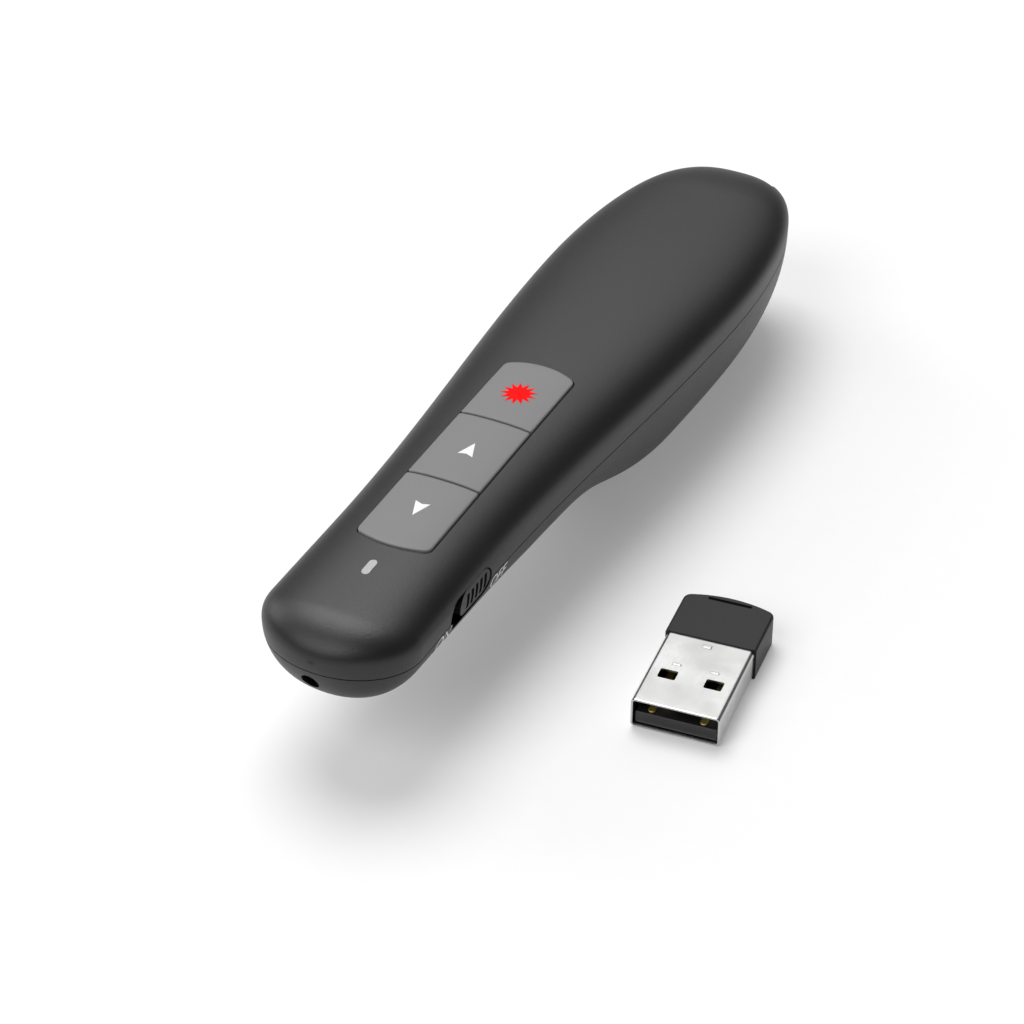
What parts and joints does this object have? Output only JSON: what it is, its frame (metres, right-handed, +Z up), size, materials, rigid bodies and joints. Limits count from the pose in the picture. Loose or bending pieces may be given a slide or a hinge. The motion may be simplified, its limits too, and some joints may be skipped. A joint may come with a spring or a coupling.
{
  "type": "wireless presentation clicker",
  "caption": "Spoon-shaped handheld slide remote with a flush key strip, a side power slider and a laser aperture, with its plug-in radio receiver lying beside it.",
  "frame": {"origin": "on the flat of the bulb's belly, where the handset rests, near the flat's middle", "axes": "+Y from the narrow front end to the bulb, +X towards the side with the power slider, +Z up"},
  "size_m": [0.0581, 0.131, 0.0244],
  "materials": {
    "housing_black": "fine matte",
    "key_grey": "fine matte",
    "clear_white": "translucent",
    "led_white": "smooth",
    "slider_black": "fine matte",
    "board_green": "solder mask",
    "chip_black": "moulded",
    "contact_steel": "plated",
    "screw_steel": "blackened",
    "barrel_brass": "turned",
    "lens_glass": "polished",
    "cell_wrap": "printed film over metal, left plain",
    "frame_black": "moulded",
    "plug_steel": "nickel plated",
    "cap_grey": "fine matte",
    "tongue_black": "moulded",
    "contact_gold": "gold flash"
  },
  "bodies": {
    "handset": {"upper_housing": "housing_black", "lower_housing": "housing_black", "light_pipe": "clear_white", "indicator_led": "led_white", "slide_switch": "contact_steel", "circuit_board": "board_green", "tact_switches": "contact_steel", "radio_chip": "chip_black", "crystal": "contact_steel", "laser_barrel": "barrel_brass", "laser_lens": "lens_glass", "laser_diode": "contact_steel", "battery_left": "cell_wrap", "battery_right": "cell_wrap", "battery_contacts": "contact_steel", "series_contact": "contact_steel", "battery_springs": "contact_steel", "battery_frame": "frame_black", "housing_screws": "screw_steel"},
    "laser_key": {"laser_key": "key_grey", "laser_key_plunger": "chip_black"},
    "page_up_key": {"page_up_key": "key_grey", "page_up_key_plunger": "chip_black"},
    "page_down_key": {"page_down_key": "key_grey", "page_down_key_plunger": "chip_black"},
    "power_slider": {"power_slider": "slider_black", "switch_lever": "chip_black"},
    "battery_cover": {"battery_cover": "housing_black"},
    "receiver": {"receiver_shell": "plug_steel", "receiver_cap": "cap_grey", "receiver_tongue": "tongue_black", "receiver_contacts": "contact_gold", "receiver_board": "board_green", "receiver_chip": "chip_black"}
  },
  "joints": [
    {"name": "laser_key_press", "type": "slide", "parent": "handset", "child": "laser_key", "axis": [0, 0, -1], "range_m": [0, 0.0005], "stiffness_N_per_m": 1500},
    {"name": "page_up_key_press", "type": "slide", "parent": "handset", "child": "page_up_key", "axis": [0, 0, -1], "range_m": [0, 0.0005], "stiffness_N_per_m": 1500},
    {"name": "page_down_key_press", "type": "slide", "parent": "handset", "child": "page_down_key", "axis": [0, 0, -1], "range_m": [0, 0.0005], "stiffness_N_per_m": 1500},
    {"name": "power_slider_slide", "type": "slide", "parent": "handset", "child": "power_slider", "axis": [0, -1, 0], "range_m": [0, 0.0026]},
    {"name": "battery_cover_slide", "type": "slide", "parent": "handset", "child": "battery_cover", "axis": [0, 1, 0], "range_m": [0, 0.06]},
    {"name": "receiver_lift", "type": "slide", "parent": "handset", "child": "receiver", "axis": [0, 0, 1], "range_m": [0, 0.06]}
  ]
}
